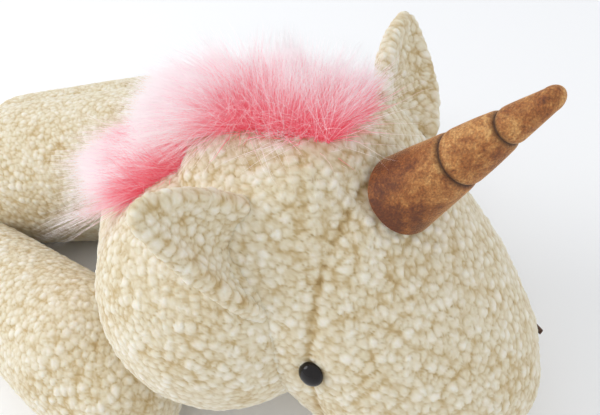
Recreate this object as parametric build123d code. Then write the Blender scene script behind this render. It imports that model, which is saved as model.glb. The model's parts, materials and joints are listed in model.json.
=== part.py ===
"""Plush unicorn lying on its belly, with its neck bent to its own right and its chin near the ground.

Millimetres, +Z up. The unicorn's trunk runs along Y and faces -Y, so its own right side is -X.
The origin is the centre of the flat patch of the belly that it rests on.
Every stuffed piece is a cover of fleece panels round its own filling.
"""
from build123d import *
import os
from math import asin, cos, degrees, radians, sin

# ---- driving sizes -------------------------------------------------------------------------
FLEECE = 4.0              # thickness of the fleece covers with the pile pressed down
JOINT_GAP = 1.2           # room between two stuffed pieces that move on each other

TRUNK_CHEST_R = 60.0
TRUNK_RUMP_R = 55.0
TRUNK_CHEST_Y = -20.0
TRUNK_RUMP_Y = 155.0
BELLY_FLAT = 3.0          # how far the belly is pressed flat on the ground
BELLY_SEAM_Z = 26.0       # height of the seams between the belly panel and the back panels

NECK_ROOT = Vector(-46, -14, 74)
NECK_ROOT_R = 41.0
NECK_BALL = Vector(-163, -79, 103)
NECK_BALL_R = 64.0

HEAD_CENTRE = Vector(-133, -127, 133)
HEAD_TURN = 38.0          # degrees that the nose points to the unicorn's right
HEAD_DROP = 28.0          # degrees that the nose points down
HEAD_TILT = 3.7           # degrees that the head leans to its right
# stations along the head: forward of its centre, half width, height of the middle, half height
HEAD_STATIONS = [
    (-64, 22, -4, 22),
    (-44, 54, -4, 52),
    (0, 72, -5, 66),
    (45, 73, -12, 61),
    (95, 65, -21, 51),
    (135, 50, -27, 38),
    (158, 26, -30, 21),
]
FACE_SEAM_TOP = (16.0, 66.0)   # forward and up: where the seam over the brow crosses the crest
FACE_SEAM_SLANT = 36.0    # degrees that this seam runs forward on its way down to the eyes

HORN_ROOT = (36.0, -5.0, 46.0)   # forward, left and up from the head's centre
HORN_ROOT_R = 19.0
HORN_TIP_R = 6.0
HORN_LENGTH = 88.0        # from the root's centre to the tip's centre
HORN_LEAN = 14.0          # degrees that it leans forward of the head's own upright
HORN_SIDE_LEAN = 22.0     # degrees that it has flopped to the unicorn's left
HORN_VELVET = 1.6
HORN_THREAD_R = 0.7
HORN_THREAD_AT = [0.36, 0.66]   # where the two quilting threads cross the horn, as shares of it
HORN_THREAD_SLOPE = 24.0

EAR_BASE = (7.0, 68.0, 36.0)      # forward, sideways and up: the middle of the ear's root
EAR_ROOT_ALONG = (18.0, 7.0, -14.0)   # from that middle to the front end of the root
EAR_REACH = (-38.0, 27.0, 22.0)   # from the root to the tip
EAR_SHOULDER = (0.92, 0.42)       # widest point of the rounded side, as shares of half root and reach
EAR_LAYER = 4.0           # each of the two layers of an ear
EAR_STANDOFF = 5.0        # from the root line to where the ear's own layers begin

EYE_AT = (62.0, 18.0)     # forward, and degrees above the widest line of the head
EYE_R = 6.0
EYE_DOME = 3.6
EYE_RIM = 1.0             # how deep the dome's edge sits in the fleece
EYE_STEM_R = 2.2
EYE_STEM_LENGTH = 8.0
WASHER_R = 5.6
WASHER_THICK = 1.2
WASHER_SEAT = 0.9         # how far behind the fleece the washer grips, in the stuffing

NOSTRIL_AT = (140.0, 34.0)   # forward, and degrees above the widest line
NOSTRIL_LENGTH = 9.0
NOSTRIL_LEAN = (0.4, 0, 1)   # direction of the stitch: forward, left, up
NOSTRIL_R = 1.6

MANE_WIDTH = 24.0
MANE_BACKING = 1.6
MANE_PILE = 26.0
MANE_FRONT = 4.0          # forward end of the mane on the head
MANE_BACK = -58.0         # back end of the mane on the head
NECK_MANE_FROM = 0.0      # where the mane starts on the neck, as shares of it from its root
NECK_MANE_TO = 0.36

# each leg: root centre, root radius, end centre, end radius
LEGS = {
    "front_right": (Vector(-8, -74, 36), 33.0, Vector(-14, -146, 34), 31.0),
    "front_left": (Vector(60, -38, 36), 32.0, Vector(56, -118, 34), 31.0),
    "hind_right": (Vector(-82, 150, 37), 34.0, Vector(-170, 24, 44), 42.0),
    "hind_left": (Vector(60, 150, 43), 41.0, Vector(92, 44, 38), 35.0),
}
LEG_SWING = {             # degrees each leg swings about an upright axis through its root
    "front_right": (-14, 4),
    "front_left": (0, 16),
    "hind_right": (-32, 0),
    "hind_left": (-2, 22),
}

TAIL_ROOT = Vector(0, 202, 72)
TAIL_END = Vector(14, 286, 42)
TAIL_CORE_R = 9.0
TAIL_CORE_END_R = 8.0
TAIL_FUR_ROOT_R = 14.0
TAIL_FUR_END_R = 20.0
TAIL_SWING = (-25, 25)

NECK_TURN = (-2, 14)
HEAD_NOD = (-10, 8)
EAR_FLOP = (-12, 14)
HORN_WOBBLE = (-7, 7)

SPACE = 1500.0            # a cut this large reaches past the whole unicorn

# ---- the head's own axes -------------------------------------------------------------------
ORIGIN = Vector(0, 0, 0)
level_left = Vector(1, 0, 0).rotate(Axis.Z, -HEAD_TURN)
FORWARD = Vector(0, -1, 0).rotate(Axis.Z, -HEAD_TURN).rotate(Axis(ORIGIN, level_left), HEAD_DROP)
LEFT = level_left.rotate(Axis(ORIGIN, FORWARD), -HEAD_TILT)
UP = FORWARD.cross(LEFT)


def on_head(forward, left, up):
    """The point that lies so far forward, left and up from the head's centre."""
    return HEAD_CENTRE + FORWARD * forward + LEFT * left + UP * up


def head_vector(forward, left, up):
    return FORWARD * forward + LEFT * left + UP * up


# ---- basic forms ---------------------------------------------------------------------------
def pod(start, start_r, end, end_r):
    """A stuffed tube: two balls of different size and the cone that touches both."""
    length = (end - start).length
    lean = asin((start_r - end_r) / length)
    start_touch = (start_r * cos(lean), start_r * sin(lean))
    end_touch = (end_r * cos(lean), length + end_r * sin(lean))
    mid_start = (-90 + degrees(lean)) / 2
    mid_end = (90 + degrees(lean)) / 2
    start_mid = (start_r * cos(radians(mid_start)), start_r * sin(radians(mid_start)))
    end_mid = (end_r * cos(radians(mid_end)), length + end_r * sin(radians(mid_end)))
    outline = Polyline(end_touch, start_touch)
    outline += ThreePointArc((0, -start_r), start_mid, start_touch)
    outline += ThreePointArc(end_touch, end_mid, (0, length + end_r))
    outline += Line((0, length + end_r), (0, -start_r))
    turned = revolve(Plane.XZ * make_face(outline), Axis.Z)
    return Plane(origin=start, z_dir=end - start) * turned


def swing_room(limb, limits, margin):
    """The room that a pod needs as it swings about an upright axis through its root."""
    root, root_r, end, end_r = limb
    low, high = limits
    middle = (end - root).rotate(Axis.Z, (low + high) / 2)
    spread = 2 * middle.length * sin(radians((high - low) / 4))
    return pod(root, root_r + margin, root + middle, end_r + margin + spread)


def slab(plane, low, high):
    """All the space between two heights over a plane."""
    return plane * (Pos(0, 0, (low + high) / 2) * Box(SPACE, SPACE, high - low))


def above(plane):
    return slab(plane, 0, SPACE)


def below(plane):
    return slab(plane, -SPACE, 0)


# ---- limbs ---------------------------------------------------------------------------------
NECK = (NECK_ROOT, NECK_ROOT_R, NECK_BALL, NECK_BALL_R)
TAIL = (TAIL_ROOT, TAIL_FUR_ROOT_R, TAIL_END, TAIL_FUR_END_R)


def grown(limb, grow):
    root, root_r, end, end_r = limb
    return pod(root, root_r + grow, end, end_r + grow)


def trunk_rooms(margin):
    """What the trunk leaves free for the neck, the legs and the tail in all their positions."""
    rooms = [swing_room(NECK, NECK_TURN, margin), swing_room(TAIL, TAIL_SWING, margin)]
    for leg, limits in LEG_SWING.items():
        rooms.append(swing_room(LEGS[leg], limits, margin))
    return rooms


def trunk_form(grow, room_margin):
    """The trunk, pressed flat underneath, with a hollow for each limb's root."""
    chest = Vector(0, TRUNK_CHEST_Y, TRUNK_CHEST_R - BELLY_FLAT)
    rump = Vector(0, TRUNK_RUMP_Y, TRUNK_RUMP_R - BELLY_FLAT)
    form = pod(chest, TRUNK_CHEST_R + grow, rump, TRUNK_RUMP_R + grow)
    form = form & above(Plane.XY.offset(-grow))
    for room in trunk_rooms(room_margin):
        form = form - room
    return form


# ---- head ----------------------------------------------------------------------------------
def head_form(grow=0.0):
    sections = []
    for forward, half_width, middle, half_height in HEAD_STATIONS:
        end_grow = grow if forward > 0 else -grow
        at_end = forward in (HEAD_STATIONS[0][0], HEAD_STATIONS[-1][0])
        place = on_head(forward + (end_grow if at_end else 0), 0, middle)
        plane = Plane(origin=place, x_dir=LEFT, z_dir=FORWARD)
        sections.append(plane * Ellipse(half_width + grow, half_height + grow))
    return loft(sections)


def station(forward):
    """Half width, middle height and half height of the head at a place along it."""
    spans = list(zip(HEAD_STATIONS, HEAD_STATIONS[1:]))
    near, far = [span for span in spans if span[0][0] <= forward or span is spans[0]][-1]
    share = (forward - near[0]) / (far[0] - near[0])
    return [a + (b - a) * share for a, b in zip(near[1:], far[1:])]


def head_side(forward, angle, side):
    """A point on the head's side, and the direction that faces out there."""
    half_width, middle, half_height = station(forward)
    a = radians(angle)
    point = on_head(forward, side * half_width * cos(a), middle + half_height * sin(a))
    outward = head_vector(0, side * cos(a) / half_width, sin(a) / half_height).normalized()
    return point, outward


def horn_ends():
    root = on_head(*HORN_ROOT)
    way = UP.rotate(Axis(ORIGIN, LEFT), HORN_LEAN).rotate(Axis(ORIGIN, FORWARD), -HORN_SIDE_LEAN)
    return root, root + way * HORN_LENGTH


def horn_form(grow=0.0):
    root, tip = horn_ends()
    return pod(root, HORN_ROOT_R + grow, tip, HORN_TIP_R + grow)


def ear_plane(side):
    """X runs along the ear's root towards the face, Y from the root to the tip."""
    root = on_head(EAR_BASE[0], side * EAR_BASE[1], EAR_BASE[2])
    along = head_vector(EAR_ROOT_ALONG[0], side * EAR_ROOT_ALONG[1], EAR_ROOT_ALONG[2])
    reach = head_vector(EAR_REACH[0], side * EAR_REACH[1], EAR_REACH[2])
    along = (along - reach.normalized() * along.dot(reach.normalized())).normalized()
    return Plane(origin=root, x_dir=along, z_dir=along.cross(reach.normalized()))


def ear_hinge(side):
    return ear_plane(side).x_dir


def ear_form(side, low, high, grow=0.0):
    """One layer of an ear: a rounded triangle, low to high through its thickness."""
    half_root = Vector(*EAR_ROOT_ALONG).length + grow
    reach = Vector(*EAR_REACH).length + grow
    shoulder = (half_root * EAR_SHOULDER[0], reach * EAR_SHOULDER[1])
    foot = EAR_STANDOFF - grow
    outline = Spline((half_root, foot), shoulder, (0, reach), (-shoulder[0], shoulder[1]),
                     (-half_root, foot), tangents=((0, 1), (0, -1)))
    outline += Line((-half_root, foot), (half_root, foot))
    layer = extrude(Plane.XY.offset(low) * make_face(outline), high - low)
    return ear_plane(side) * layer


def head_rooms(margin):
    """What the head leaves free for the neck's ball and the horn's root."""
    root, tip = horn_ends()
    lean = 2 * HORN_LENGTH * sin(radians((HORN_WOBBLE[1] - HORN_WOBBLE[0]) / 4))
    horn_room = pod(root, HORN_ROOT_R + margin, tip, HORN_TIP_R + margin + lean)
    nod = 2 * (NECK_BALL - NECK_ROOT).length * sin(radians((HEAD_NOD[1] - HEAD_NOD[0]) / 4))
    neck_room = pod(NECK_BALL, NECK_BALL_R + margin, NECK_ROOT, NECK_ROOT_R + margin + nod)
    return [neck_room, horn_room]


def eye_form(side):
    """A safety eye: a low dome on a stem that passes through the fleece."""
    point, outward = head_side(EYE_AT[0], EYE_AT[1], side)
    plane = Plane(origin=point, z_dir=outward)
    dome_ball_r = (EYE_R ** 2 + EYE_DOME ** 2) / (2 * EYE_DOME)
    dome = Pos(0, 0, EYE_DOME - dome_ball_r) * Sphere(dome_ball_r)
    dome = dome & above(Plane.XY.offset(-EYE_RIM))
    stem = Pos(0, 0, -EYE_STEM_LENGTH / 2) * Cylinder(EYE_STEM_R, EYE_STEM_LENGTH)
    return plane * (dome + stem)


def washer_form(side):
    """The washer pressed on the eye's stem behind the fleece."""
    point, outward = head_side(EYE_AT[0], EYE_AT[1], side)
    depth = FLEECE + WASHER_SEAT + WASHER_THICK / 2
    plane = Plane(origin=point - outward * depth, z_dir=outward)
    disc = Cylinder(WASHER_R, WASHER_THICK) - Cylinder(EYE_STEM_R, WASHER_THICK * 2)
    return plane * disc


def nostril_form(side):
    """A short satin stitch, half sunk in the fleece."""
    point, outward = head_side(NOSTRIL_AT[0], NOSTRIL_AT[1], side)
    along = head_vector(*NOSTRIL_LEAN)
    along = (along - outward * along.dot(outward)).normalized()
    half = along * (NOSTRIL_LENGTH / 2 - NOSTRIL_R)
    return pod(point - half, NOSTRIL_R, point + half, NOSTRIL_R)


def mane_on_head(low, high, width):
    """A layer along the head's crest, low to high over the fleece."""
    layer = head_form(high) - head_form(low)
    middle = Plane(origin=on_head((MANE_FRONT + MANE_BACK) / 2, 0, 0), x_dir=FORWARD, z_dir=UP)
    strip = middle * (Pos(0, 0, SPACE / 2) * Box(MANE_FRONT - MANE_BACK, width, SPACE))
    return main_piece(layer & strip)


def mane_on_neck(low, high, width):
    """A layer along the top of the neck, between the head and the trunk."""
    layer = grown(NECK, high) - grown(NECK, low)
    along = NECK_BALL - NECK_ROOT
    start = NECK_ROOT + along * NECK_MANE_FROM
    side = along.cross(Vector(0, 0, 1)).normalized()
    strip_plane = Plane(origin=start, x_dir=along, z_dir=side.cross(along))
    length = along.length * (NECK_MANE_TO - NECK_MANE_FROM)
    return layer & (strip_plane * (Pos(length / 2, 0, SPACE / 2) * Box(length, width, SPACE)))


# ---- making the nodes ----------------------------------------------------------------------
nodes = {}


def main_piece(shape):
    """The panel itself, without the crumbs that a slanting cut can leave at a seam's corner."""
    return max(shape.solids(), key=lambda solid: solid.volume)


def split_panels(cover, plane, front_name, back_name):
    """Cut a cover along a seam plane into two panels."""
    nodes[front_name] = main_piece(cover & above(plane))
    nodes[back_name] = main_piece(cover & below(plane))


def make_trunk():
    outer = trunk_form(0, JOINT_GAP)
    inner = trunk_form(-FLEECE, JOINT_GAP + FLEECE)
    cover = outer - inner
    seam = Plane(origin=(0, 0, BELLY_SEAM_Z), z_dir=(0, 0, 1))
    back = cover & above(seam)
    nodes["belly_panel"] = cover & below(seam)
    split_panels(back, Plane(origin=ORIGIN, z_dir=(1, 0, 0)), "back_panel_left", "back_panel_right")
    nodes["trunk_stuffing"] = inner


def make_neck():
    outer = grown(NECK, 0)
    inner = grown(NECK, -FLEECE)
    seam = Plane(origin=NECK_ROOT, z_dir=(NECK_BALL - NECK_ROOT).cross(Vector(0, 0, 1)))
    split_panels(outer - inner, seam, "neck_panel_right", "neck_panel_left")
    nodes["neck_stuffing"] = inner


def make_legs():
    for leg, (root, root_r, end, end_r) in LEGS.items():
        outer = grown(LEGS[leg], 0)
        inner = grown(LEGS[leg], -FLEECE)
        seam = Plane(origin=root, z_dir=(end - root).cross(Vector(0, 0, 1)))
        split_panels(outer - inner, seam, f"leg_{leg}_panel_a", f"leg_{leg}_panel_b")
        nodes[f"leg_{leg}_stuffing"] = inner


def make_head():
    outer = head_form()
    for room in head_rooms(JOINT_GAP):
        outer = outer - room
    inner = head_form(-FLEECE)
    for room in head_rooms(JOINT_GAP + FLEECE):
        inner = inner - room
    cover = outer - inner
    for side, name in ((-1, "right"), (1, "left")):
        eye = eye_form(side)
        washer = washer_form(side)
        nostril = nostril_form(side)
        cover = cover - eye - nostril
        inner = inner - eye - washer - nostril
        nodes[f"eye_{name}"] = eye
        nodes[f"eye_washer_{name}"] = washer
        nodes[f"nostril_stitch_{name}"] = nostril
    middle = Plane(origin=HEAD_CENTRE, z_dir=LEFT)
    slant = radians(FACE_SEAM_SLANT)
    seam_top = on_head(FACE_SEAM_TOP[0], 0, FACE_SEAM_TOP[1])
    face_seam = Plane(origin=seam_top, z_dir=head_vector(cos(slant), 0, sin(slant)))
    face = cover & above(face_seam)
    crown = cover & below(face_seam)
    split_panels(face, middle, "face_panel_left", "face_panel_right")
    split_panels(crown, middle, "crown_panel_left", "crown_panel_right")
    nodes["head_stuffing"] = inner


def make_horn():
    root, tip = horn_ends()
    outer = horn_form()
    inner = horn_form(-HORN_VELVET)
    axis = (tip - root).normalized()
    threads = []
    for share in HORN_THREAD_AT:
        centre = root + (tip - root) * share
        tilted = axis.rotate(Axis(ORIGIN, LEFT), HORN_THREAD_SLOPE)
        cut = Plane(origin=centre, z_dir=tilted)
        band = horn_form(HORN_THREAD_R) - horn_form(-HORN_THREAD_R)
        threads.append(band & slab(cut, -HORN_THREAD_R, HORN_THREAD_R))
    thread = threads[0] + threads[1]
    nodes["horn_thread"] = thread
    nodes["horn_cover"] = outer - inner - thread
    nodes["horn_stuffing"] = inner


def make_ears():
    for side, name in ((-1, "right"), (1, "left")):
        nodes[f"ear_{name}_front"] = ear_form(side, 0, EAR_LAYER)
        nodes[f"ear_{name}_back"] = ear_form(side, -EAR_LAYER, 0)


def make_mane():
    nodes["mane_backing_head"] = mane_on_head(0, MANE_BACKING, MANE_WIDTH)
    nodes["mane_fur_head"] = mane_on_head(MANE_BACKING, MANE_PILE, MANE_WIDTH)
    nodes["mane_backing_neck"] = mane_on_neck(0, MANE_BACKING, MANE_WIDTH)
    nodes["mane_fur_neck"] = mane_on_neck(MANE_BACKING, MANE_PILE, MANE_WIDTH)


def make_tail():
    core = pod(TAIL_ROOT, TAIL_CORE_R, TAIL_END, TAIL_CORE_END_R)
    nodes["tail_core"] = core
    nodes["tail_fur"] = grown(TAIL, 0) - core


make_trunk()
make_neck()
make_legs()
make_head()
make_horn()
make_ears()
make_mane()
make_tail()

os.makedirs("parts", exist_ok=True)
for name, shape in nodes.items():
    solids = shape.solids()
    whole = solids[0] if len(solids) == 1 else Compound(children=list(solids))
    export_step(whole, f"parts/{name}.step")
    print(name, len(solids), "solids", round(sum(s.volume for s in solids)), "mm3")
for side, name in ((-1, "right"), (1, "left")):
    print("ear hinge", name, ear_plane(side).origin, ear_hinge(side))
print("horn root", horn_ends()[0], "horn tip", horn_ends()[1], "left", LEFT, "forward", FORWARD, "up", UP)
print("neck turn", NECK_TURN, "head nod", HEAD_NOD, "ear flop", EAR_FLOP, "horn wobble", HORN_WOBBLE)
print("leg swing", LEG_SWING, "tail swing", TAIL_SWING)
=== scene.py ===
import json
import math
from itertools import product

import bmesh
import bpy
import numpy as np
from mathutils import Matrix, Vector


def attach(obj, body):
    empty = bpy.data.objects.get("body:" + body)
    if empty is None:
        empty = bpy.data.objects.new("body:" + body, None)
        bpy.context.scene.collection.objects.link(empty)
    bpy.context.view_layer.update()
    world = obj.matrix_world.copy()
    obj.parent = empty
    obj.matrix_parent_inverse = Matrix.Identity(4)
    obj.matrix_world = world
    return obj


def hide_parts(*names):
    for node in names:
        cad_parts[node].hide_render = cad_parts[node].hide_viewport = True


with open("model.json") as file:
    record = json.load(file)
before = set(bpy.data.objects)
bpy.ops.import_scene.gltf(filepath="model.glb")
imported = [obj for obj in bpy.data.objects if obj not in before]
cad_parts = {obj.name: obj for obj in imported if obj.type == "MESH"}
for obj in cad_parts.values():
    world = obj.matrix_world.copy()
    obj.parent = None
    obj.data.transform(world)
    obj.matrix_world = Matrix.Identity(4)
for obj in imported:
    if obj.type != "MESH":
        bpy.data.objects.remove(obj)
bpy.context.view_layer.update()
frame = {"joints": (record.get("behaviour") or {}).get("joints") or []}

# ==== Trunk ====
# The body is a tube of looped cream fleece sewn from two back panels and a belly panel, and
# stuffed with polyester fibre. It lies flat on its belly.
mm = 0.001
pivots = {j["name"]: Vector(j["pos_m"]) for j in frame["joints"]}
pile_proud = 3.6 * mm        # how far the fleece's pile stands out of the pressed cloth
curl_size = 4.3 * mm         # width of one curl of the fleece
curl_depth = 1.7 * mm
ground_gap = 0.4 * mm        # where cloth rests on the ground, the pile is pressed down to this


def ball_points(centre, radius, turns=28):
    """Points all over a ball; radius is one number or three."""
    polar, around = np.meshgrid(np.linspace(0, np.pi, turns), np.linspace(0, 2 * np.pi, 2 * turns))
    unit = np.stack([np.sin(polar) * np.cos(around), np.sin(polar) * np.sin(around), np.cos(polar)], -1)
    return unit.reshape(-1, 3) * np.asarray(radius) + np.asarray(centre)


def hull_mesh(points):
    """A closed convex skin round a set of points."""
    bm = bmesh.new()
    verts = [bm.verts.new(p) for p in points]
    made = bmesh.ops.convex_hull(bm, input=verts)
    loose = {v for v in made["geom_interior"] + made["geom_unused"] if isinstance(v, bmesh.types.BMVert)}
    bmesh.ops.delete(bm, geom=list(loose), context="VERTS")
    mesh = bpy.data.meshes.new("form")
    bm.to_mesh(mesh)
    bm.free()
    return mesh


def baked(obj):
    """The object's mesh with its modifiers applied."""
    graph = bpy.context.evaluated_depsgraph_get()
    mesh = bpy.data.meshes.new_from_object(obj.evaluated_get(graph))
    obj.modifiers.clear()
    obj.data = mesh
    return obj


def stuffed_skin(name, points, coarse=4.4 * mm, smoothing=10, splits=2):
    """A taut skin round the points: smoothed, and divided finely enough to carry curls."""
    obj = bpy.data.objects.new(name, hull_mesh(points))
    bpy.context.scene.collection.objects.link(obj)
    remesh = obj.modifiers.new("joined", "REMESH")
    remesh.mode = "VOXEL"
    remesh.voxel_size = coarse
    smooth = obj.modifiers.new("taut", "SMOOTH")
    smooth.iterations = smoothing
    smooth.factor = 0.5
    fine = obj.modifiers.new("fine", "SUBSURF")
    fine.levels = splits
    fine.render_levels = splits
    return baked(obj)


def vertex_arrays(mesh):
    """Places and outward ways of all the mesh's vertices."""
    co = np.empty(len(mesh.vertices) * 3)
    mesh.vertices.foreach_get("co", co)
    normal = np.empty(len(mesh.vertices) * 3)
    mesh.vertices.foreach_get("normal", normal)
    return co.reshape(-1, 3), normal.reshape(-1, 3)


def scatter(cell, seed):
    """Three steady random numbers from 0 to 1 for each whole-numbered cell."""
    n = (cell[:, 0] * 73856093) ^ (cell[:, 1] * 19349663) ^ (cell[:, 2] * 83492791) ^ (seed * 2654435761)
    out = []
    for step in (1, 2, 3):
        m = (n + step * 40503) & 0xFFFFFFFF
        m = ((m ^ (m >> 16)) * 0x45D9F3B) & 0xFFFFFFFF
        m = ((m ^ (m >> 16)) * 0x45D9F3B) & 0xFFFFFFFF
        out.append(((m ^ (m >> 16)) & 0xFFFFFF) / float(0xFFFFFF))
    return np.stack(out, -1)


def cells(points, size, seed):
    """Distance to the nearest and the next cell centre, and a random number for the nearest."""
    p = points / size
    base = np.floor(p).astype(np.int64)
    first = np.full(len(p), 9.0)
    second = np.full(len(p), 9.0)
    own = np.zeros(len(p))
    for offset in product((-1, 0, 1), repeat=3):
        cell = base + np.array(offset)
        spot = scatter(cell, seed)
        away = np.linalg.norm(p - cell - spot, axis=1)
        closer = away < first
        second = np.where(closer, first, np.minimum(second, away))
        own = np.where(closer, spot[:, 0], own)
        first = np.where(closer, away, first)
    return first, second, own


def waver(points, size, seed):
    """A smooth wandering of the points, about one size long."""
    out = np.zeros_like(points)
    for k in range(3):
        turn = 2 * np.pi * scatter(np.array([[k, seed, 7]]), 3)[0]
        for axis in range(3):
            a, b = points[:, (axis + 1) % 3], points[:, (axis + 2) % 3]
            wave = size * (1.0 + 0.6 * k)
            out[:, axis] += np.sin(a / wave + turn[0] + k) * np.cos(b / wave + turn[1] - axis)
    return out / 3


def curl_heights(points, size=curl_size, seed=1):
    """Height of the fleece from 0, down between curls, to 1, on top of a curl."""
    moved = points + waver(points, size * 0.55, seed) * size * 0.32
    first, second, own = cells(moved, size, seed)
    edge = np.clip((second - first) / 0.5, 0, 1) ** 0.6
    dome = np.clip(1 - (first / 1.05) ** 2, 0, 1)
    small_first, small_second, small_own = cells(moved, size * 0.5, seed + 11)
    small = np.clip((small_second - small_first) / 0.6, 0, 1) ** 0.7 * (0.5 + 0.5 * small_own)
    height = (0.45 * edge + 0.55 * dome) * (0.55 + 0.45 * own)
    return np.clip(height * 0.75 + 0.25 * small, 0, 1)


def note_values(mesh, name, values):
    """Keep one number for each vertex, for a material to read."""
    mesh.attributes.new(name, "FLOAT", "POINT").data.foreach_set("value", values.astype(np.float32))


def shade_smooth(mesh):
    mesh.polygons.foreach_set("use_smooth", np.ones(len(mesh.polygons), bool))


def grow_fleece(obj, seed=1, size=curl_size, depth=curl_depth, dips=None, proud=pile_proud):
    """Raise the curls on a skin, and note their height on it, from which the material paints shade between
    the curls.
    """
    co, normal = vertex_arrays(obj.data)
    height = curl_heights(co, size, seed)
    dip, seam_shade = (0.0, 0.0) if dips is None else dips(co)
    slow = waver(co, 23 * mm, seed + 5)[:, 0] * 0.6 * mm
    out = proud - depth * 0.5 + depth * height + slow - dip
    co = co + normal * out[:, None]
    # what would go under the ground is pressed flat on it
    co[:, 2] = np.where(co[:, 2] < ground_gap, ground_gap + (co[:, 2] - ground_gap) * 0.02, co[:, 2])
    co[:, 2] = np.maximum(co[:, 2], 0.05 * mm)
    obj.data.vertices.foreach_set("co", co.ravel())
    # the painted shade along a seam is taken off the curl height, so the material paints it darker there
    note_values(obj.data, "curl", np.clip(height - seam_shade, 0, 1))
    shade_smooth(obj.data)
    obj.data.update()


def new_material(name):
    """A new node material, its nodes and links, and its surface shader."""
    material = bpy.data.materials.new(name)
    material.use_nodes = True
    nodes = material.node_tree.nodes
    links = material.node_tree.links
    return material, nodes, links, nodes["Principled BSDF"]


def colour_steps(nodes, steps):
    """A colour ramp from (position, colour) pairs."""
    ramp = nodes.new("ShaderNodeValToRGB")
    while len(ramp.color_ramp.elements) < len(steps):
        ramp.color_ramp.elements.new(0.5)
    for element, (position, colour) in zip(ramp.color_ramp.elements, steps):
        element.position = position
        element.color = (*colour, 1)
    return ramp


def fleece_material():
    """Cream fleece: pale curl tops, painted shade in a warm straw colour down between the curls, fibres in
    the bump.
    """
    material, nodes, links, shader = new_material("cream_fleece")
    place = nodes.new("ShaderNodeTexCoord")
    curl = nodes.new("ShaderNodeAttribute")
    curl.attribute_name = "curl"
    patch = nodes.new("ShaderNodeTexNoise")
    patch.inputs["Scale"].default_value = 55
    patch.inputs["Detail"].default_value = 3
    links.new(place.outputs["Object"], patch.inputs["Vector"])
    shift = nodes.new("ShaderNodeMath")
    shift.operation = "MULTIPLY_ADD"
    shift.inputs[1].default_value = 0.35
    shift.inputs[2].default_value = -0.175
    links.new(patch.outputs["Fac"], shift.inputs[0])
    total = nodes.new("ShaderNodeMath")
    links.new(curl.outputs["Fac"], total.inputs[0])
    links.new(shift.outputs[0], total.inputs[1])
    # the colour runs from painted shade, warm as light scattered in the pile, down between the curls, to the
    # fleece's own pale cream on the curl tops
    ramp = colour_steps(nodes, [(0.0, (0.40, 0.26, 0.10)), (0.22, (0.56, 0.42, 0.22)),
                                (0.45, (0.72, 0.63, 0.45)), (0.8, (0.85, 0.80, 0.69))])
    links.new(total.outputs[0], ramp.inputs["Fac"])
    links.new(ramp.outputs["Color"], shader.inputs["Base Color"])
    fibre = nodes.new("ShaderNodeTexNoise")
    fibre.inputs["Scale"].default_value = 1500
    fibre.inputs["Detail"].default_value = 4
    links.new(place.outputs["Object"], fibre.inputs["Vector"])
    bump = nodes.new("ShaderNodeBump")
    bump.inputs["Strength"].default_value = 0.5
    bump.inputs["Distance"].default_value = 0.0006
    links.new(fibre.outputs["Fac"], bump.inputs["Height"])
    links.new(bump.outputs["Normal"], shader.inputs["Normal"])
    shader.inputs["Roughness"].default_value = 0.95
    shader.inputs["Specular IOR Level"].default_value = 0.15
    shader.inputs["Subsurface Weight"].default_value = 0.25
    shader.inputs["Subsurface Radius"].default_value = (0.0030, 0.0022, 0.0014)
    shader.inputs["Subsurface Scale"].default_value = 1.0
    shader.inputs["Sheen Weight"].default_value = 0.35
    shader.inputs["Sheen Roughness"].default_value = 0.55
    shader.inputs["Sheen Tint"].default_value = (1.0, 0.97, 0.9, 1)
    return material


def finish_piece(obj, body, material, replaced):
    """Give the piece its material and its body, and hide the nodes that it stands for."""
    obj.data.materials.clear()
    obj.data.materials.append(material)
    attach(obj, body)
    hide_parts(*replaced)


cream_fleece = fleece_material()
chest_radius, rump_radius = 60 * mm, 55 * mm
chest_back, rump_back = -20 * mm, 155 * mm      # how far back along the trunk each swell lies
trunk_sag = 2 * mm                              # the belly's round is pressed this much flat
chest_centre = Vector((0, chest_back, chest_radius - trunk_sag))
rump_centre = Vector((0, rump_back, rump_radius - trunk_sag))
trunk_points = [ball_points(chest_centre, chest_radius), ball_points(rump_centre, rump_radius)]
trunk = stuffed_skin("trunk_cover", np.vstack(trunk_points))
grow_fleece(trunk, seed=1)
finish_piece(trunk, "trunk", cream_fleece,
             ["belly_panel", "back_panel_left", "back_panel_right", "trunk_stuffing"])

# ==== Neck ====
# The neck is a fat stuffed sleeve that swells into a ball under the head. Two panels of the same
# fleece are sewn round it.
neck_root = pivots["neck_turn"]
neck_ball = pivots["head_nod"]
neck_root_radius, neck_ball_radius = 44 * mm, 65 * mm
neck_points = [ball_points(neck_root, neck_root_radius), ball_points(neck_ball, neck_ball_radius)]
neck = stuffed_skin("neck_cover", np.vstack(neck_points))
grow_fleece(neck, seed=2)
finish_piece(neck, "neck", cream_fleece,
             ["neck_panel_left", "neck_panel_right", "neck_stuffing"])

# ==== Head ====
# The head is one stuffed form from four fleece panels. A seam runs over the brow behind the horn
# and forward down each cheek to the eyes.
head_turn, head_drop, head_tilt = math.radians(38), math.radians(28), math.radians(3.7)
level_left = Vector((math.cos(head_turn), -math.sin(head_turn), 0))
level_forward = Vector((-math.sin(head_turn), -math.cos(head_turn), 0))
head_forward = Matrix.Rotation(head_drop, 3, level_left) @ level_forward
head_left = Matrix.Rotation(-head_tilt, 3, head_forward) @ level_left
head_up = head_forward.cross(head_left)
head_from_neck = Vector((30, -48, 30)) * mm
head_centre = neck_ball + head_from_neck
head_axes = Matrix((head_forward, head_left, head_up))
# stations from the back of the head to the muzzle, all in mm: how far forward of the head's
# centre, half width, height of the middle, half height
head_stations = [(-64, 22, -4, 22), (-44, 54, -4, 52), (0, 73, -5, 67), (45, 75, -12, 62),
                 (95, 69, -21, 53), (135, 54, -27, 40), (158, 30, -30, 23)]


def on_head(forward, left, up):
    """The place that is so many mm forward, left and up of the head's centre."""
    return head_centre + (head_forward * forward + head_left * left + head_up * up) * mm


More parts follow.
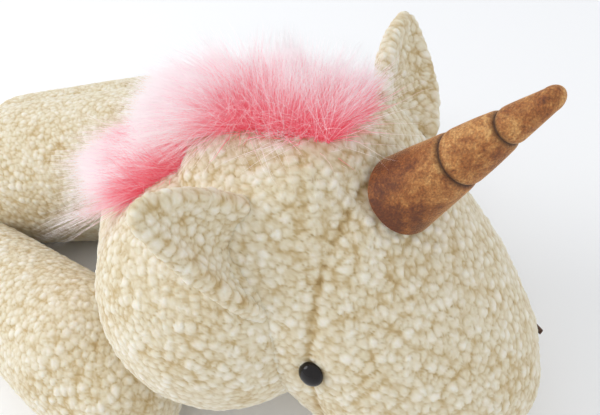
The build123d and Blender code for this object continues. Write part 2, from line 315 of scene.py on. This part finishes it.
def head_station(forward):
    """Half width, height of the middle and half height so far forward, in mm."""
    table = np.array(head_stations, float)
    return [float(np.interp(forward, table[:, 0], table[:, k])) for k in (1, 2, 3)]


def head_surface(forward, angle, side, proud=0.0):
    """A point on the head, so many degrees above its widest line, and the way that faces out."""
    half_width, middle, half_height = head_station(forward)
    a = math.radians(angle)
    across = side * (half_width + proud) * math.cos(a)
    point = on_head(forward, across, middle + (half_height + proud) * math.sin(a))
    out = head_left * (side * math.cos(a) / half_width) + head_up * (math.sin(a) / half_height)
    return point, out.normalized()


def head_rings():
    """Points on a ring round the head at each station."""
    turns = np.linspace(0, 2 * np.pi, 72, endpoint=False)
    rings = []
    for forward, half_width, middle, half_height in head_stations:
        for t in turns:
            rings.append(on_head(forward, half_width * math.cos(t), middle + half_height * math.sin(t)))
    return np.array([tuple(p) for p in rings])


# the seam crosses the top of the head here, and leans back at this angle on its way down
seam_top_forward, seam_top_up, seam_slant = 16 * mm, 66 * mm, math.radians(36)
seam_fold_width, seam_fold_depth = 5 * mm, 1.9 * mm
seam_stitch_width, seam_stitch_depth = 1.3 * mm, 0.9 * mm


def head_dips(co):
    """How deep the brow seam pulls the fleece in, and how much painted shade lies in its crease along the
    stitch line.
    """
    local = (co - np.array(head_centre)) @ np.array(head_axes).T
    forward = (local[:, 0] - seam_top_forward) * math.cos(seam_slant)
    away = forward + (local[:, 2] - seam_top_up) * math.sin(seam_slant)
    fold = np.exp(-(away / seam_fold_width) ** 2)
    stitch = np.exp(-(away / seam_stitch_width) ** 2)
    # the second number is painted shade along the stitch line
    return seam_fold_depth * fold + seam_stitch_depth * stitch, 0.25 * stitch


head = stuffed_skin("head_cover", head_rings())
grow_fleece(head, seed=3, size=4.5 * mm, depth=2.1 * mm, dips=head_dips)
finish_piece(head, "head", cream_fleece,
             ["crown_panel_left", "crown_panel_right", "face_panel_left", "face_panel_right", "head_stuffing",
              "mane_backing_head"])

# ==== Legs ====
# Each leg is a plain stuffed tube of fleece with a round end, made of two panels with a seam
# along each side. It is closed at its root and sewn to the trunk there, so that it can swing.
leg_shapes = {
    # the middle of the leg's round end, the radius at the root, the radius at the end; all in mm
    "front_right": ((-14, -146, 34), 33, 31),
    "front_left": ((56, -118, 34), 32, 31),
    "hind_right": ((-170, 24, 44), 34, 42),
    "hind_left": ((92, 44, 38), 41, 35),
}
# the right hind leg is stretched out, and its foot is pressed out flatter under the neck
foot_spread, foot_spread_radius = Vector((-22, -26, -8)) * mm, 35 * mm
for number, (leg_name, (end, root_radius, end_radius)) in enumerate(leg_shapes.items()):
    root = pivots[f"leg_swing_{leg_name}"]
    end = Vector(end) * mm
    forms = [ball_points(root, root_radius * mm), ball_points(end, end_radius * mm)]
    if leg_name == "hind_right":
        forms.append(ball_points(end + foot_spread, foot_spread_radius))
    leg = stuffed_skin(f"leg_{leg_name}_cover", np.vstack(forms))
    grow_fleece(leg, seed=10 + number)
    finish_piece(leg, f"leg_{leg_name}", cream_fleece,
                 [f"leg_{leg_name}_panel_a", f"leg_{leg_name}_panel_b", f"leg_{leg_name}_stuffing"])

# ==== Ears ====
# Each ear is two layers of fleece sewn round the edge and turned, gathered at its root so that it
# cups. It is stitched to the crown along a slanting line, and its edge is a thick soft roll.
ear_thick = 6.5 * mm
ear_cup = 15 * mm            # how deep the ear is cupped at its root
ear_narrowing = 0.6          # the share of its width that the ear loses on the way to the tip
rim_set_back = 0.65          # how far the whole ear leans back from its cup, as a share of the cup
ear_places = {
    # side; front and back end of the root, in mm forward and degrees above the widest line; the
    # tip, in mm from the head's centre; how many mm the front and the back edge swell outward
    "right": (-1, (27, 13), (-13, 40), (-31, -96, 54), 2, 3),
    "left": (1, (24, 40), (-7, 57), (-28, 96, 55), 7, 4),
}


def head_vector(forward, left, up):
    """A way that is given by how much it goes forward, left and up of the head."""
    return head_forward * forward + head_left * left + head_up * up


def ear_sheet(side, front, back, tip, front_swell, back_swell):
    """The ear's middle surface as a grid of points, cupped and rounded at the tip."""
    front_end = head_surface(*front, side)[0]
    back_end = head_surface(*back, side)[0]
    tip = on_head(*tip)
    middle = (front_end + back_end) / 2
    reach = tip - middle
    along = (front_end - back_end) / 2
    face = along.cross(reach).normalized() * (-side)
    outward = (along - reach.normalized() * along.dot(reach.normalized())).normalized()
    bm = bmesh.new()
    rows = []
    for v in np.linspace(0, 1, 26):
        # the sides run nearly straight, then close round the tip
        wide = max(1 - v ** 3.2, 0.0) ** 0.5 * (1 - ear_narrowing * v)
        bulge = math.sin(math.pi * min(v, 0.97)) ** 0.8
        row = []
        for u in np.linspace(-1, 1, 21):
            swell = (front_swell if u > 0 else back_swell) * mm * bulge * u
            cup = face * ear_cup * ((1 - u * u) * (1 - 0.8 * v) - rim_set_back * (1 - 0.6 * v))
            row.append(bm.verts.new(middle + reach * v + along * (u * wide) + outward * swell + cup))
        rows.append(row)
    for low, high in zip(rows, rows[1:]):
        for k in range(len(low) - 1):
            bm.faces.new((low[k], low[k + 1], high[k + 1], high[k]))
    bmesh.ops.remove_doubles(bm, verts=bm.verts, dist=1e-6)
    mesh = bpy.data.meshes.new("ear")
    bm.to_mesh(mesh)
    bm.free()
    return mesh


for ear_name, ear_place in ear_places.items():
    ear = bpy.data.objects.new(f"ear_{ear_name}_cover", ear_sheet(*ear_place))
    bpy.context.scene.collection.objects.link(ear)
    thick = ear.modifiers.new("layers", "SOLIDIFY")
    thick.thickness = ear_thick
    thick.offset = 0
    remesh = ear.modifiers.new("sewn", "REMESH")
    remesh.mode = "VOXEL"
    remesh.voxel_size = 1.7 * mm
    smooth = ear.modifiers.new("turned", "SMOOTH")
    smooth.iterations = 8
    fine = ear.modifiers.new("fine", "SUBSURF")
    fine.levels = 1
    baked(ear)
    grow_fleece(ear, seed=20 + ear_place[0], size=4.2 * mm, depth=1.7 * mm, proud=1.6 * mm)
    finish_piece(ear, f"ear_{ear_name}", cream_fleece,
                 [f"ear_{ear_name}_front", f"ear_{ear_name}_back"])

# ==== Horn ====
# The horn is a stuffed cone of copper crushed velvet with a hem at its base. Two threads wrap it
# on a slant and pull shallow grooves.
horn_rise = 13 * mm          # the hem sits this far out along the horn from where it pivots
horn_forward_lean, horn_side_lean = math.radians(14), math.radians(22)
horn_axis = Matrix.Rotation(horn_forward_lean, 3, head_left) @ head_up
horn_axis = Matrix.Rotation(-horn_side_lean, 3, head_forward) @ horn_axis
horn_root = pivots["horn_lean"] + horn_axis * horn_rise
horn_length = 74 * mm
horn_root_radius, horn_tip_radius = 20.0 * mm, 5.6 * mm
horn_side = head_left
horn_front = horn_side.cross(horn_axis)
thread_places = (0.38, 0.67)                    # shares of the way from the hem to the tip
thread_slant = math.tan(math.radians(15))
thread_width, groove_depth = 1.0 * mm, 1.7 * mm
cone_share = 0.93                               # the rings after this share go round the tip
hem_nap_share = 0.42                            # the nap has turned over by this share of the way


def horn_mesh(rings=260, around=200):
    """The velvet cone, ring by ring from the hem to the rounded tip."""
    bm = bmesh.new()
    rows = []
    for ring in range(rings):
        share = ring / (rings - 1)
        if share < cone_share:
            along = share / cone_share
            radius = horn_root_radius + (horn_tip_radius - horn_root_radius) * along
            height = along * horn_length
        else:
            angle = (share - cone_share) / (1 - cone_share) * math.pi / 2
            radius = horn_tip_radius * math.cos(angle)
            height = horn_length + horn_tip_radius * math.sin(angle)
        row = []
        for k in range(around):
            turn = 2 * math.pi * k / around
            row.append(bm.verts.new(horn_root + horn_axis * height
                                    + (horn_side * math.cos(turn) + horn_front * math.sin(turn)) * radius))
        rows.append(row)
    for low, high in zip(rows, rows[1:]):
        for k in range(around):
            bm.faces.new((low[k], low[(k + 1) % around], high[(k + 1) % around], high[k]))
    bmesh.ops.remove_doubles(bm, verts=bm.verts, dist=1e-6)
    bmesh.ops.holes_fill(bm, edges=[e for e in bm.edges if e.is_boundary])
    bmesh.ops.recalc_face_normals(bm, faces=bm.faces)
    mesh = bpy.data.meshes.new("horn")
    bm.to_mesh(mesh)
    bm.free()
    return mesh


def thread_offset(co, place):
    """Signed distance along the horn from the slanting line of one thread."""
    local = co - np.array(horn_root)
    along = local @ np.array(horn_axis)
    across = local @ np.array(horn_side)
    return along - place * horn_length - across * thread_slant


horn = bpy.data.objects.new("horn_cover", horn_mesh())
bpy.context.scene.collection.objects.link(horn)
horn_co, horn_normal = vertex_arrays(horn.data)
groove = np.zeros(len(horn_co))
for place in thread_places:
    groove += np.exp(-np.abs(thread_offset(horn_co, place) / thread_width) ** 1.3)
crush = waver(horn_co, 5.5 * mm, 31)[:, 1] * 0.55 + waver(horn_co, 2.6 * mm, 33)[:, 2] * 0.25
horn_co = horn_co + horn_normal * (crush * mm - groove * groove_depth)[:, None]
horn.data.vertices.foreach_set("co", horn_co.ravel())
note_values(horn.data, "groove", groove)
nap = (horn_co - np.array(horn_root)) @ np.array(horn_axis) / (hem_nap_share * horn_length)
nap = np.clip(nap, 0, 1)
note_values(horn.data, "nap", nap * nap * (3 - 2 * nap))
shade_smooth(horn.data)


def velvet_material():
    """Copper crushed velvet: the nap lies in light and dark patches, and glints at a low angle."""
    material, nodes, links, shader = new_material("copper_velvet")
    place = nodes.new("ShaderNodeTexCoord")
    warp = nodes.new("ShaderNodeTexNoise")
    warp.inputs["Scale"].default_value = 75
    warp.inputs["Detail"].default_value = 9
    warp.inputs["Roughness"].default_value = 0.82
    warp.inputs["Distortion"].default_value = 0.25
    links.new(place.outputs["Object"], warp.inputs["Vector"])
    ramp = colour_steps(nodes, [(0.36, (0.13, 0.032, 0.006)), (0.46, (0.27, 0.085, 0.015)),
                                (0.55, (0.42, 0.175, 0.045)), (0.66, (0.66, 0.37, 0.13))])
    # towards the hem the nap lies the other way, and looks darker and redder
    nap = nodes.new("ShaderNodeAttribute")
    nap.attribute_name = "nap"
    brushed_down = nodes.new("ShaderNodeMath")
    brushed_down.operation = "MULTIPLY_ADD"
    brushed_down.inputs[1].default_value = 0.14
    brushed_down.inputs[2].default_value = -0.11
    lie = nodes.new("ShaderNodeMath")
    links.new(nap.outputs["Fac"], brushed_down.inputs[0])
    links.new(warp.outputs["Fac"], lie.inputs[0])
    links.new(brushed_down.outputs[0], lie.inputs[1])
    links.new(lie.outputs[0], ramp.inputs["Fac"])
    grain = nodes.new("ShaderNodeTexNoise")
    grain.inputs["Scale"].default_value = 1100
    grain.inputs["Detail"].default_value = 5
    links.new(place.outputs["Object"], grain.inputs["Vector"])
    speck = nodes.new("ShaderNodeMix")
    speck.data_type = "RGBA"
    speck.blend_type = "OVERLAY"
    speck.inputs[0].default_value = 0.9
    links.new(ramp.outputs["Color"], speck.inputs[6])
    links.new(grain.outputs["Fac"], speck.inputs[7])
    groove = nodes.new("ShaderNodeAttribute")
    groove.attribute_name = "groove"
    seam = nodes.new("ShaderNodeMix")
    seam.data_type = "RGBA"
    seam.inputs[7].default_value = (0.045, 0.014, 0.005, 1)
    links.new(groove.outputs["Fac"], seam.inputs[0])
    links.new(speck.outputs[2], seam.inputs[6])
    links.new(seam.outputs[2], shader.inputs["Base Color"])
    bump = nodes.new("ShaderNodeBump")
    bump.inputs["Strength"].default_value = 0.6
    bump.inputs["Distance"].default_value = 0.0008
    links.new(grain.outputs["Fac"], bump.inputs["Height"])
    links.new(bump.outputs["Normal"], shader.inputs["Normal"])
    shader.inputs["Roughness"].default_value = 0.6
    shader.inputs["Sheen Weight"].default_value = 0.9
    shader.inputs["Sheen Roughness"].default_value = 0.3
    shader.inputs["Sheen Tint"].default_value = (1.0, 0.62, 0.32, 1)
    return material


finish_piece(horn, "horn", velvet_material(),
             ["horn_cover", "horn_stuffing", "horn_thread"])

# ==== Eyes ====
# Each eye is a safety eye turned out of black plastic: a polished dome on a stem. The stem goes
# through the fleece, and a washer inside the head holds it. The pile stands up round its rim.
eye_forward, eye_angle = 63.5, 18.5             # mm forward, and degrees above the widest line
eye_proud = 3.0                                 # mm that the rim stands out of the pressed cloth
eye_radius, eye_height = 6.2 * mm, 4.0 * mm
eye_rim_radius, eye_rim_depth = eye_radius * 0.8, 1.6 * mm
eye_stem_radius, eye_stem_length = 2.2 * mm, 8.2 * mm
eye_turns = 48


def eye_material():
    """Black plastic, polished, with hardly any colour of its own."""
    material, nodes, links, shader = new_material("black_eye")
    place = nodes.new("ShaderNodeTexCoord")
    dust = nodes.new("ShaderNodeTexNoise")
    dust.inputs["Scale"].default_value = 700
    links.new(place.outputs["Object"], dust.inputs["Vector"])
    ramp = colour_steps(nodes, [(0.3, (0.006, 0.004, 0.004)), (0.8, (0.012, 0.009, 0.008))])
    links.new(dust.outputs["Fac"], ramp.inputs["Fac"])
    links.new(ramp.outputs["Color"], shader.inputs["Base Color"])
    shader.inputs["Roughness"].default_value = 0.05
    shader.inputs["Specular IOR Level"].default_value = 0.22
    shader.inputs["Coat Weight"].default_value = 0.15
    return material


def eye_mesh(point, out):
    """A dome with a rolled rim and a stem, turned about the way that it faces."""
    side = out.orthogonal().normalized()
    other = out.cross(side)
    outline = [(0.0, eye_height)]
    for t in np.linspace(0.08, 1, 16):
        outline.append((eye_radius * math.sin(t * math.pi / 2), eye_height * math.cos(t * math.pi / 2)))
    outline += [(eye_radius * 0.97, -eye_rim_depth / 2), (eye_rim_radius, -eye_rim_depth),
                (eye_stem_radius, -eye_rim_depth - 0.2 * mm),
                (eye_stem_radius - 0.2 * mm, -eye_stem_length + 0.2 * mm), (0.0, -eye_stem_length)]
    bm = bmesh.new()
    rows = []
    for radius, height in outline:
        rows.append([bm.verts.new(point + out * height + (side * math.cos(a) + other * math.sin(a)) * radius)
                     for a in np.linspace(0, 2 * math.pi, eye_turns, endpoint=False)])
    for low, high in zip(rows, rows[1:]):
        for k in range(eye_turns):
            after = (k + 1) % eye_turns
            bm.faces.new((low[k], high[k], high[after], low[after]))
    bmesh.ops.remove_doubles(bm, verts=bm.verts, dist=1e-7)
    bmesh.ops.recalc_face_normals(bm, faces=bm.faces)
    mesh = bpy.data.meshes.new("eye")
    bm.to_mesh(mesh)
    bm.free()
    shade_smooth(mesh)
    return mesh


black_eye = eye_material()
for side, eye_name in ((-1, "right"), (1, "left")):
    point, out = head_surface(eye_forward, eye_angle, side, proud=eye_proud)
    eye = bpy.data.objects.new(f"eye_{eye_name}_dome", eye_mesh(point, out))
    bpy.context.scene.collection.objects.link(eye)
    finish_piece(eye, "head", black_eye, [f"eye_{eye_name}", f"eye_washer_{eye_name}"])

# ==== Nostrils ====
# Each nostril is a short bar of satin stitch in brown thread on the muzzle's front, made of
# parallel turns of thread that sink into the fleece at their ends.
nostril_forward, nostril_angle = 140, 34        # mm forward, and degrees above the widest line
nostril_proud = 4.2                             # mm out of the pressed cloth, on top of the pile
nostril_length, nostril_width = 9 * mm, 4.2 * mm
thread_radius, nostril_turns = 0.42 * mm, 12
thread_lift, thread_sink = 0.9 * mm, 2.6 * mm   # the middle of a turn is up, its ends go down


def thread_material():
    """Brown embroidery thread: a twisted sheen along its length."""
    material, nodes, links, shader = new_material("brown_thread")
    place = nodes.new("ShaderNodeTexCoord")
    twist = nodes.new("ShaderNodeTexWave")
    twist.inputs["Scale"].default_value = 900
    twist.inputs["Distortion"].default_value = 2
    links.new(place.outputs["Object"], twist.inputs["Vector"])
    ramp = colour_steps(nodes, [(0.2, (0.055, 0.022, 0.010)), (0.8, (0.15, 0.065, 0.030))])
    links.new(twist.outputs["Fac"], ramp.inputs["Fac"])
    links.new(ramp.outputs["Color"], shader.inputs["Base Color"])
    shader.inputs["Roughness"].default_value = 0.45
    return material


brown_thread = thread_material()
for side, nostril_name in ((-1, "right"), (1, "left")):
    middle, out = head_surface(nostril_forward, nostril_angle, side, proud=nostril_proud)
    bar = head_vector(0.4, 0, 1)
    bar = (bar - out * bar.dot(out)).normalized()
    cross = out.cross(bar)
    curve = bpy.data.curves.new(f"nostril_{nostril_name}_stitch", "CURVE")
    curve.dimensions = "3D"
    curve.bevel_depth = thread_radius
    curve.bevel_resolution = 2
    for turn in range(nostril_turns):
        along = (turn / (nostril_turns - 1) - 0.5) * nostril_length
        half = nostril_width / 2 * math.sqrt(1 - (2 * along / nostril_length) ** 2 * 0.8)
        thread = curve.splines.new("POLY")
        thread.points.add(6)
        for k, point in enumerate(thread.points):
            share = k / 3 - 1
            lift = thread_lift - thread_sink * share ** 4
            point.co = (*(middle + bar * along + cross * (share * half) + out * lift), 1)
    stitch = bpy.data.objects.new(f"nostril_{nostril_name}_stitch", curve)
    bpy.context.scene.collection.objects.link(stitch)
    finish_piece(stitch, "head", brown_thread, [f"nostril_stitch_{nostril_name}"])

# ==== Mane ====
# A strip of long-pile faux fur is sewn along the crest, from behind the horn to the withers. Its
# hairs are deep pink at the roots and nearly white at the tips, and they stand up in locks.
def hair_mesh(name, roots, heads, lengths, droop, radius, seed,
              locks=90, pull=0.6, shades=(0.0, 1.0), segments=5):
    """Thin tapered hairs with three sides, whose tips draw together into locks."""
    rng = np.random.default_rng(seed)
    count = len(roots)
    heading = heads / np.linalg.norm(heads, axis=1)[:, None]
    side = np.cross(heading, rng.normal(size=(count, 3)))
    side /= np.linalg.norm(side, axis=1)[:, None]
    other = np.cross(heading, side)
    reach = lengths[:, None]
    middle = roots + heading * reach * 0.5
    tips = roots + heading * reach + (rng.normal(size=(count, 3)) * 0.10 + np.array(droop)) * reach
    leaders = rng.choice(count, locks, replace=False)
    lock = np.argmin(np.linalg.norm(roots[:, None] - roots[None, leaders], axis=2), axis=1)
    share = pull * rng.random(count)[:, None] ** 0.5
    tips = tips + (tips[leaders][lock] - tips) * share
    middle = middle + (middle[leaders][lock] - middle) * share * 0.35
    wave = rng.normal(size=count)[:, None] * 0.05 * reach
    rings = []
    for k in range(segments + 1):
        t = k / segments
        centre = roots * (1 - t) ** 2 + middle * 2 * t * (1 - t) + tips * t * t
        centre = centre + side * wave * math.sin(6 * t) * t
        if k < segments:
            thin = radius * (1 - t) ** 0.6
            for turn in (0, 2 * math.pi / 3, 4 * math.pi / 3):
                rings.append(centre + side * math.cos(turn) * thin + other * math.sin(turn) * thin)
        else:
            rings.append(centre)
    co = np.stack(rings, 1)
    per = co.shape[1]
    faces = []
    for k in range(segments - 1):
        for e in range(3):
            f = (e + 1) % 3
            faces.append((3 * k + e, 3 * k + f, 3 * k + 3 + f))
            faces.append((3 * k + e, 3 * k + 3 + f, 3 * k + 3 + e))
    last = 3 * (segments - 1)
    for e in range(3):
        faces.append((last + e, last + (e + 1) % 3, per - 1))
    all_faces = (np.arange(count)[:, None, None] * per + np.array(faces)[None]).reshape(-1, 3)
    mesh = bpy.data.meshes.new(name)
    mesh.vertices.add(count * per)
    mesh.vertices.foreach_set("co", co.reshape(-1))
    mesh.loops.add(len(all_faces) * 3)
    mesh.loops.foreach_set("vertex_index", all_faces.reshape(-1))
    mesh.polygons.add(len(all_faces))
    mesh.polygons.foreach_set("loop_start", np.arange(len(all_faces)) * 3)
    mesh.update(calc_edges=True)
    steps = np.concatenate([np.repeat(np.arange(segments) / segments, 3), [1.0]])
    along = shades[0] + (shades[1] - shades[0]) * np.tile(steps, count)
    note_values(mesh, "along", along)
    note_values(mesh, "shade", np.repeat(rng.random(count), per))
    shade_smooth(mesh)
    obj = bpy.data.objects.new(name, mesh)
    bpy.context.scene.collection.objects.link(obj)
    return obj


def fur_material():
    """Pink hair: deep at the root, pale rose at the tip, a little different from hair to hair."""
    material, nodes, links, shader = new_material("pink_fur")
    along = nodes.new("ShaderNodeAttribute")
    along.attribute_name = "along"
    shade = nodes.new("ShaderNodeAttribute")
    shade.attribute_name = "shade"
    mix = nodes.new("ShaderNodeMath")
    mix.operation = "MULTIPLY_ADD"
    mix.inputs[1].default_value = 0.22
    links.new(shade.outputs["Fac"], mix.inputs[0])
    links.new(along.outputs["Fac"], mix.inputs[2])
    ramp = colour_steps(nodes, [(0.10, (0.90, 0.09, 0.14)), (0.38, (0.94, 0.22, 0.29)),
                                (0.60, (0.96, 0.50, 0.56)), (0.90, (0.98, 0.90, 0.92))])
    links.new(mix.outputs[0], ramp.inputs["Fac"])
    links.new(ramp.outputs["Color"], shader.inputs["Base Color"])
    shader.inputs["Roughness"].default_value = 0.5
    shader.inputs["Sheen Weight"].default_value = 0.2
    # the hair glows faintly in its own colour: painted light, standing in for light that passes from hair to
    # hair inside the pile
    links.new(ramp.outputs["Color"], shader.inputs["Emission Color"])
    shader.inputs["Emission Strength"].default_value = 0.18
    return material


pink_fur = fur_material()
rng = np.random.default_rng(41)
# the strip on the head, in mm: where it starts and ends forward of the centre, and its half width
mane_front, mane_back, mane_half = 0.0, -62.0, 12.0
mane_lean = 0.45             # degrees that the strip leaves the crest for each mm that it goes back
crest_front = -34            # from here back, longer hair lies over onto the neck


def crest_roots(count, front=mane_front, back=mane_back):
    """Roots on the head's part of the strip, the way out of the cloth, and how far back they are."""
    roots, outs, backs = [], [], []
    for _ in range(count):
        forward = rng.uniform(back, front)
        across = rng.uniform(-1, 1)
        half_width = head_station(forward)[0]
        from_crest = math.degrees(across * mane_half / max(half_width, 30))
        angle = 90 - (mane_front - forward) * mane_lean + from_crest
        point, out = head_surface(forward, angle, -1, proud=1.5)
        roots.append(point)
        outs.append(out)
        backs.append((mane_front - forward) / (mane_front - mane_back))
    return np.array(roots), np.array(outs), np.array(backs)


# how the brushed hair lies at places along the strip, from its front end to its back end
brush_ways = [head_vector(-0.20, 0.75, 0.62), head_vector(-0.60, 0.55, 0.55),
              head_vector(-0.90, -0.05, 0.22), head_vector(-0.86, -0.50, -0.14)]


def brushed(backs):
    """The way that the hair is brushed, for roots so far back along the strip."""
    table = np.array([tuple(w) for w in brush_ways])
    places = np.linspace(0, 1, len(table))
    return np.stack([np.interp(backs, places, table[:, k]) for k in range(3)], -1)


def scattered(heads, amount):
    """The same ways, each one turned a little by chance."""
    return heads + rng.normal(size=heads.shape) * amount


long_hair, under_hair, stray_hair = 0.11 * mm, 0.2 * mm, 0.10 * mm      # radius at the root

roots, outs, backs = crest_roots(6800)
heads = scattered(brushed(backs) + outs * rng.uniform(-0.1, 0.5, (len(roots), 1)), 0.34)
lengths = rng.uniform(24, 46, len(roots)) * mm
mane = hair_mesh("mane_long_hair", roots, heads, lengths, (0, 0, -0.10), long_hair, 42,
                 locks=70, pull=0.85)
finish_piece(mane, "head", pink_fur, ["mane_fur_head"])

# short deep pink hair fills the strip under the long hair
roots, outs, backs = crest_roots(6800)
heads = scattered(brushed(backs) * 0.7 + outs * 0.6, 0.42)
lengths = rng.uniform(14, 26, len(roots)) * mm
under = hair_mesh("mane_under_hair", roots, heads, lengths, (0, 0, -0.05), under_hair, 43,
                  pull=0.2, shades=(0.0, 0.42))
finish_piece(under, "head", pink_fur, [])

# where the strip leaves the head, longer hair lies over onto the neck
roots, outs, backs = crest_roots(5500, front=crest_front)
crest_way = np.array(head_vector(-0.86, -0.50, -0.14))
heads = scattered(crest_way + outs * rng.uniform(0.0, 0.5, (len(roots), 1)), 0.30)
lengths = rng.uniform(36, 58, len(roots)) * mm
over = hair_mesh("mane_crest_hair", roots, heads, lengths, (0, 0, -0.12), long_hair, 47,
                 locks=50, pull=0.8)
finish_piece(over, "head", pink_fur, [])

# a few long pale hairs stray from the strip to every side
roots, outs, backs = crest_roots(1500)
heads = scattered(brushed(backs) * 0.5 + outs * 0.5, 0.75)
lengths = rng.uniform(34, 50, len(roots)) * mm
stray = hair_mesh("mane_stray_hair", roots, heads, lengths, (0, 0, -0.15), stray_hair, 45,
                  locks=60, pull=0.8, shades=(0.35, 1.0))
finish_piece(stray, "head", pink_fur, [])


def nape_roots(count):
    """Roots along the top of the neck, the way out of the cloth, and the share of the way along."""
    along = neck_ball - neck_root
    side = along.cross(Vector((0, 0, 1))).normalized()
    top = side.cross(along).normalized()
    roots, outs, shares = [], [], []
    for _ in range(count):
        share = 0.1 + 0.82 * rng.random() ** 0.7
        across = 0.10 + rng.uniform(-1, 1) * 0.30
        radius = neck_root_radius + (neck_ball_radius - neck_root_radius) * share + 1.5 * mm
        out = top * math.cos(across) + side * math.sin(across)
        roots.append(neck_root + along * share + out * radius)
        outs.append(out)
        shares.append(share)
    return np.array(roots), np.array(outs), np.array(shares)


nape_way = np.array([-0.22, 0.95, -0.02])       # back along the trunk
roots, outs, shares = nape_roots(6800)
heads = scattered(nape_way + outs * rng.uniform(0.0, 0.6, (len(roots), 1)), 0.34)
lengths = rng.uniform(28, 50, len(roots)) * mm
nape = hair_mesh("mane_nape_hair", roots, heads, lengths, (-0.05, 0.05, -0.15), long_hair, 44,
                 locks=70, pull=0.8, shades=(0.12, 1.0))
finish_piece(nape, "neck", pink_fur, ["mane_fur_neck", "mane_backing_neck"])
roots, outs, shares = nape_roots(5000)
heads = scattered(nape_way * 0.6 + outs * 0.6, 0.4)
lengths = rng.uniform(14, 26, len(roots)) * mm
nape_under = hair_mesh("mane_nape_under", roots, heads, lengths, (0, 0, -0.1), under_hair, 46,
                       pull=0.2, shades=(0.0, 0.42))
finish_piece(nape_under, "neck", pink_fur, [])

# ==== Tail ====
# The tail is a tuft of the same pink fur as the mane, rolled round a short stuffed core with the
# pile outward. It is sewn on at the top of the rump, hangs back and comes to rest on the ground.
tail_root = pivots["tail_swing"]
tail_end = Vector((14, 286, 42)) * mm
tail_root_radius, tail_end_radius = 9 * mm, 8 * mm
tail_hairs = 6800
core_points = [ball_points(tail_root, tail_root_radius), ball_points(tail_end, tail_end_radius)]
core = stuffed_skin("tail_core_cover", np.vstack(core_points), coarse=3 * mm, smoothing=6, splits=1)
grow_fleece(core, seed=51, proud=0.5 * mm)
finish_piece(core, "tail", pink_fur, ["tail_core"])
share = rng.uniform(0.05, 1.0, tail_hairs)
turn = rng.uniform(0, 2 * math.pi, tail_hairs)
tail_way = tail_end - tail_root
tail_side = tail_way.orthogonal().normalized()
tail_other = tail_way.cross(tail_side).normalized()
around = np.cos(turn)[:, None] * np.array(tail_side) + np.sin(turn)[:, None] * np.array(tail_other)
roots = np.array(tail_root) + share[:, None] * np.array(tail_way) + around * tail_end_radius
heads = around * 0.5 + np.array(tail_way.normalized()) + rng.normal(size=roots.shape) * 0.15
lengths = rng.uniform(16, 30, len(roots)) * mm
tail = hair_mesh("tail_hair", roots, heads, lengths, (0, 0, -0.1), 0.16 * mm, 52)
finish_piece(tail, "tail", pink_fur, ["tail_fur"])

# ==== Ground, light and camera ====
# The toy lies on a plain white table. Broad daylight comes from all round, with one soft window
# behind the rump, and the camera looks down on the right side of the head.
ground_reach = 4.0
ground_corners = [(x * ground_reach, y * ground_reach, 0) for x, y in ((-1, -1), (1, -1), (1, 1), (-1, 1))]
ground_mesh = bpy.data.meshes.new("ground")
ground_mesh.from_pydata(ground_corners, [], [(0, 1, 2, 3)])
ground = bpy.data.objects.new("ground", ground_mesh)
bpy.context.scene.collection.objects.link(ground)
material, nodes, links, shader = new_material("white_ground")
shader.inputs["Base Color"].default_value = (0.92, 0.92, 0.93, 1)
shader.inputs["Roughness"].default_value = 0.9
ground_mesh.materials.append(material)

world = bpy.data.worlds.new("day")
world.use_nodes = True
daylight = world.node_tree.nodes["Background"]
daylight.inputs["Color"].default_value = (0.96, 0.98, 1.0, 1)
daylight.inputs["Strength"].default_value = 0.92
bpy.context.scene.world = world

window_data = bpy.data.lights.new("window", "AREA")
window_data.shape = "DISK"
window_data.size = 0.9
window_data.energy = 8
window = bpy.data.objects.new("window", window_data)
bpy.context.scene.collection.objects.link(window)
window.location = (-0.15, 1.15, 0.95)
window_aim = Vector((-0.05, 0, 0.08))
window.rotation_euler = (window_aim - window.location).to_track_quat("-Z", "Y").to_euler()

camera_azimuth, camera_elevation = math.radians(-79.05), math.radians(44.47)
camera_roll = math.radians(-11.35)
camera_from_head = Vector((-229.98, -40.18, 222.96)) * mm
back = Vector((math.sin(camera_azimuth) * math.cos(camera_elevation),
               -math.cos(camera_azimuth) * math.cos(camera_elevation), math.sin(camera_elevation)))
level = Vector((0, 0, 1)).cross(back).normalized()
upright = back.cross(level)
right = level * math.cos(camera_roll) + upright * math.sin(camera_roll)
up = upright * math.cos(camera_roll) - level * math.sin(camera_roll)
camera_data = bpy.data.cameras.new("camera")
camera_data.sensor_width = 36
camera_data.lens = 35.58
camera_data.clip_start = 0.01
camera = bpy.data.objects.new("camera", camera_data)
bpy.context.scene.collection.objects.link(camera)
place = head_centre + camera_from_head
camera.matrix_world = Matrix(((right.x, up.x, back.x, place.x), (right.y, up.y, back.y, place.y),
                              (right.z, up.z, back.z, place.z), (0, 0, 0, 1)))
bpy.context.scene.camera = camera
bpy.context.scene.view_settings.view_transform = "Standard"
